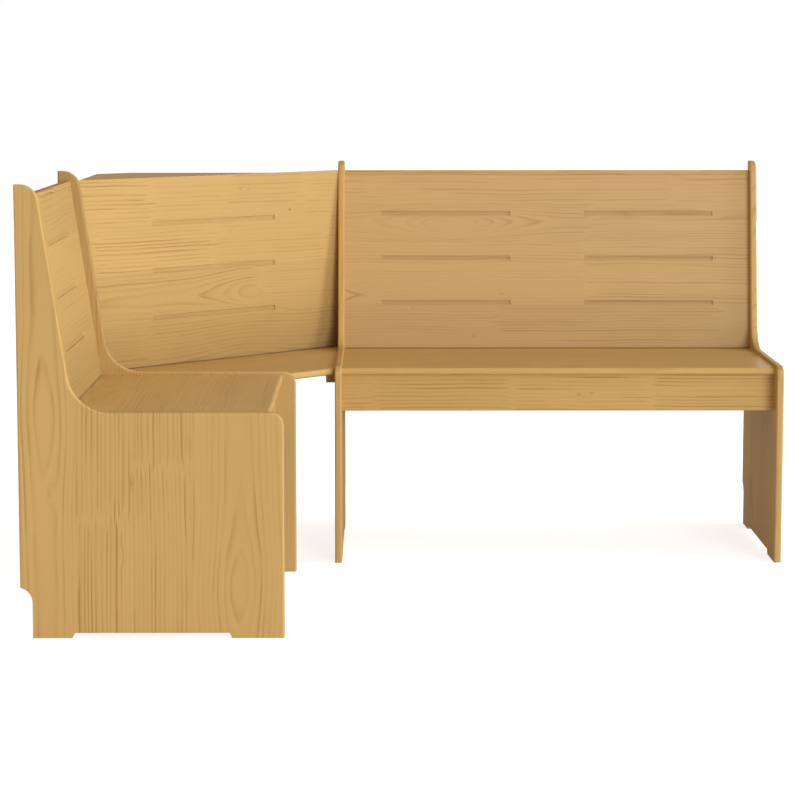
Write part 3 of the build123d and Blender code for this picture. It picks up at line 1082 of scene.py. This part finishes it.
@dataclass(frozen=True)
class Studio:
    """The stage: a pale floor, soft lamps, an even white surround and the camera."""

    lamps: tuple[Lamp, ...] = (
        Lamp("front_lamp", azimuth=25, elevation=6, power=880),
        Lamp("side_lamp", azimuth=85, elevation=20, power=650),
        Lamp("rear_lamp", azimuth=178, elevation=10, power=260),
    )
    surround: float = 0.385
    floor_half: float = 40.0
    floor_colour: Triple = (0.8, 0.8, 0.8)
    floor_lift: float = 0.7
    centre: Triple = (-0.1, 0.1, 0.45)
    camera_place: Triple = (-0.0849, -5.1652, 1.0591)
    camera_pitch: float = 6.674
    camera_turn: float = -0.1636
    lens: float = 111.55
    sensor: float = 36.0
    shift: Pair = (0.0088, -0.0500)

    def build(self) -> None:
        """Set up floor, surround, lamps and camera."""
        self._floor()
        self._surround()
        for lamp in self.lamps:
            lamp.build(Vector(self.centre))
        self._camera()
        bpy.context.scene.view_settings.view_transform = "Standard"

    @staticmethod
    def _seen(g: Graph) -> Socket:
        """Tell which rays show the surround to the camera, straight or through gloss or glass.

        Args:
            g: The graph that asks.

        Returns:
            1 for those rays, else 0.
        """
        path = g.node("LightPath")
        gloss = g.math("MAXIMUM", path.outputs["Is Glossy Ray"], path.outputs["Is Transmission Ray"])
        return g.math("MAXIMUM", path.outputs["Is Camera Ray"], gloss)

    def _floor(self) -> None:
        """A pale floor that keeps the bench's shadow and is lifted to white where it is seen."""
        half = self.floor_half
        mesh = bpy.data.meshes.new("floor")
        corners = [(-half, -half, 0), (half, -half, 0), (half, half, 0), (-half, half, 0)]
        mesh.from_pydata(corners, [], [(0, 1, 2, 3)])
        obj = bpy.data.objects.new("floor", mesh)
        bpy.context.scene.collection.objects.link(obj)
        material, g = empty_material("pale_floor")
        matt = g.fill(g.node("BsdfDiffuse"), {"Color": self.floor_colour})
        lift = g.fill(g.node("Emission"), {"Strength": g.times(self._seen(g), self.floor_lift)})
        both = g.node("AddShader", matt.outputs[0], lift.outputs[0])
        g.node("OutputMaterial", both.outputs[0])
        mesh.materials.append(material)

    def _surround(self) -> None:
        """An even white surround: soft light on the bench, plain white where it is seen."""
        world = bpy.data.worlds.new("surround")
        bpy.context.scene.world = world
        world.use_nodes = True
        world.node_tree.nodes.clear()
        g = Graph(world.node_tree)
        strength = g.remap(self._seen(g), 0.0, 1.0, self.surround, 1.0, smooth=False)
        back = g.fill(g.node("Background"), {"Color": (1.0, 1.0, 1.0), "Strength": strength})
        g.node("OutputWorld", back.outputs[0])

    def _camera(self) -> None:
        """The camera at the photograph's viewing angle."""
        camera = bpy.data.cameras.new("camera")
        camera.lens = self.lens
        camera.sensor_width = self.sensor
        camera.shift_x, camera.shift_y = self.shift
        obj = bpy.data.objects.new("camera", camera)
        obj.location = self.camera_place
        obj.rotation_euler = (radians(90 - self.camera_pitch), 0.0, radians(self.camera_turn))
        bpy.context.scene.collection.objects.link(obj)
        bpy.context.scene.camera = obj


LONG_BACK = Figure(
    staves=(
        Stave(0.100, pith=-0.33, phase=0.13, tone=0.95,
              line=0.7, ring=0.0068, block=0.52, cut=-0.12, rest=0.5),
        Stave(0.090, pith=-0.24, phase=0.37, tone=0.99,
              line=0.7, ring=0.0072, block=0.55, cut=0.087, rest=0.4),
        Stave(0.055, pith=-0.16, depth=0.04, phase=0.61, tone=1.01,
              line=0.7, ring=0.0076, block=0.6, cut=0.087, rest=0.6),
        Stave(0.090, pith=0.09, depth=0.014, eye=-0.213, rise=0.0235, reach=0.12, phase=0.276,
              line=0.55, ring=0.0048, block=0.6, cut=-0.5),
        Stave(0.066, pith=0.33, phase=0.83, tone=1.01, line=0.45, ring=0.0085, block=0.7, cut=-0.4),
    ),
    knots=(
        Knot(-0.478, -0.0775, radius=0.014, dark=0.0, rim=0.45),
        Knot(-0.17, -0.173, dark=0.25),
        Knot(-0.105, -0.075, radius=0.004),
        Knot(-0.31, -0.108, dark=0.15),
    ),
    # painted shade on the grooves' floors, toward and at the lower edge, and toward the right end beside the
    # panel
    toning=Toning(groove=0.9, foot=0.9, joint=0.6, end=0.94),
    finish=PALE_PINE,
)
LONG_APRON = Figure(
    knots=(
        Knot(0.044, -0.004, radius=0.0035, dark=0.28),
        Knot(0.072, -0.002, radius=0.0035, dark=0.28),
    ),
    toning=Toning(line=0.9),
)
SHORT_FRONT = Figure(
    staves=(
        Stave(0.172, pith=-0.163, depth=0.022, eye=-0.325, rise=0.021, reach=0.097, phase=0.4325,
              line=0.55, ring=0.009, block=0.75, cut=-0.5),
        Stave(0.110, pith=-0.23, depth=0.04, phase=0.17, line=0.85, ring=0.0078, block=0.6, cut=-0.096),
        Stave(0.105, pith=-0.14, phase=0.71, line=0.9, ring=0.0085, block=0.62, cut=-0.2),
        Stave(0.108, pith=0.1975, depth=0.02, eye=-0.005, rise=0.0155, reach=0.12, phase=0.5534,
              tone=1.03, line=0.75, ring=0.0085),
    ),
    knots=(
        Knot(-0.15, 0.188, radius=0.006, dark=0.1),
        Knot(-0.13, 0.035, dark=0.12),
        Knot(-0.27, 0.055, dark=0.12),
    ),
    # edge is a painted highlight on the rounded edges
    toning=Toning(edge=1.08),
)
SHORT_BACK = Figure(
    # painted shade on the grooves' floors and toward and at the lower edge, painted light on the grooves'
    # walls
    toning=Toning(all=1.03, groove=0.95, wall=1.22, foot=0.78, joint=0.6, line=0.35),
    finish=SOFT_PINE,
)
CORNER_BACK = Figure(
    # the two lower staves' darker tones are partly painted shade toward the seat, partly the staves' own tone
    staves=(
        Stave(0.095, pith=-0.23, depth=0.03, eye=0.1, rise=0.02, reach=0.1, phase=0.23,
              tone=0.94, line=0.6, ring=0.0075, block=0.6, cut=-0.2),
        Stave(0.110, pith=-0.058, depth=0.02, eye=0.109, rise=0.0235, reach=0.08, phase=0.4665,
              tone=0.97, line=0.6, ring=0.0065, block=1.03, cut=-0.9, rest=0.5),
        Stave(0.105, pith=-0.16, phase=0.67, tone=1.02,
              line=0.75, ring=0.0085, block=0.34, cut=-0.34, rest=0.55),
        Stave(0.098, pith=0.4, phase=0.91, tone=1.03,
              line=0.8, ring=0.0095, block=0.223, cut=-0.398, rest=0.5),
    ),
    knots=(
        Knot(0.225, 0.12, dark=0.6),
        Knot(0.075, 0.172),
        Knot(0.1, 0.17),
        Knot(0.045, 0.08, radius=0.004, dark=0.15),
    ),
    # painted shade on the grooves' floors, toward and at the lower edge and toward the end at the right
    # panel; painted light on the grooves' walls
    toning=Toning(groove=0.92, wall=1.1, foot=0.77, joint=0.55, end=0.95),
    finish=SOFT_PINE,
)
LONG_BENCH = Bench(
    name="long_bench",
    run=Direction.RIGHT,
    out=Direction.FRONT,
    lean=Direction.LONG_LEAN,
    slope=Direction.LONG_SLOPE,
    panels={"right": Direction.LEFT, "left": Direction.RIGHT},
    figures={"backrest": LONG_BACK, "apron": LONG_APRON},
)
SHORT_BENCH = Bench(
    name="short_bench",
    run=Direction.BACK,
    out=Direction.RIGHT,
    lean=Direction.SHORT_LEAN,
    slope=Direction.SHORT_SLOPE,
    panels={"rear": Direction.FRONT, "front": Direction.FRONT},
    figures={
        "front_panel": SHORT_FRONT,
        # end is painted shade toward the top of the rear panel
        "rear_panel": Figure(toning=Toning(all=1.02, end=0.78, line=0.6), finish=SOFT_PINE),
        "backrest": SHORT_BACK,
        "seat": Figure(toning=Toning(all=1.09, line=0.35), finish=SOFT_PINE),
    },
)
CORNER = Corner(
    name="corner",
    figures={
        "backrest": CORNER_BACK,
        "seat": Figure(toning=Toning(all=1.06, line=0.35), finish=SOFT_PINE),
    },
)


def main() -> None:
    """Dress the boards, build the fasteners and set the stage."""
    logging.basicConfig(level=logging.INFO, format="%(message)s")
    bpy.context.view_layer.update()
    pattern = RingPattern()
    assemblies = (LONG_BENCH, SHORT_BENCH, CORNER)
    for assembly in assemblies:
        assembly.dress(pattern)
    zinc = metal_material(ZINC)
    for assembly in assemblies:
        screws = FastenerSet(f"{assembly.name}_screws", Screw(), "zinc_screw").build()
        screws.data.materials.append(zinc)
    for bench in (LONG_BENCH, SHORT_BENCH):
        dowels = FastenerSet(f"{bench.name}_dowels", Dowel(), "beech_dowel").build()
        Board(dowels.name, bench.run, Direction.UP, Figure(finish=BEECH)).dress(dowels, pattern)
    Studio().build()


if __name__ == "__main__":
    main()
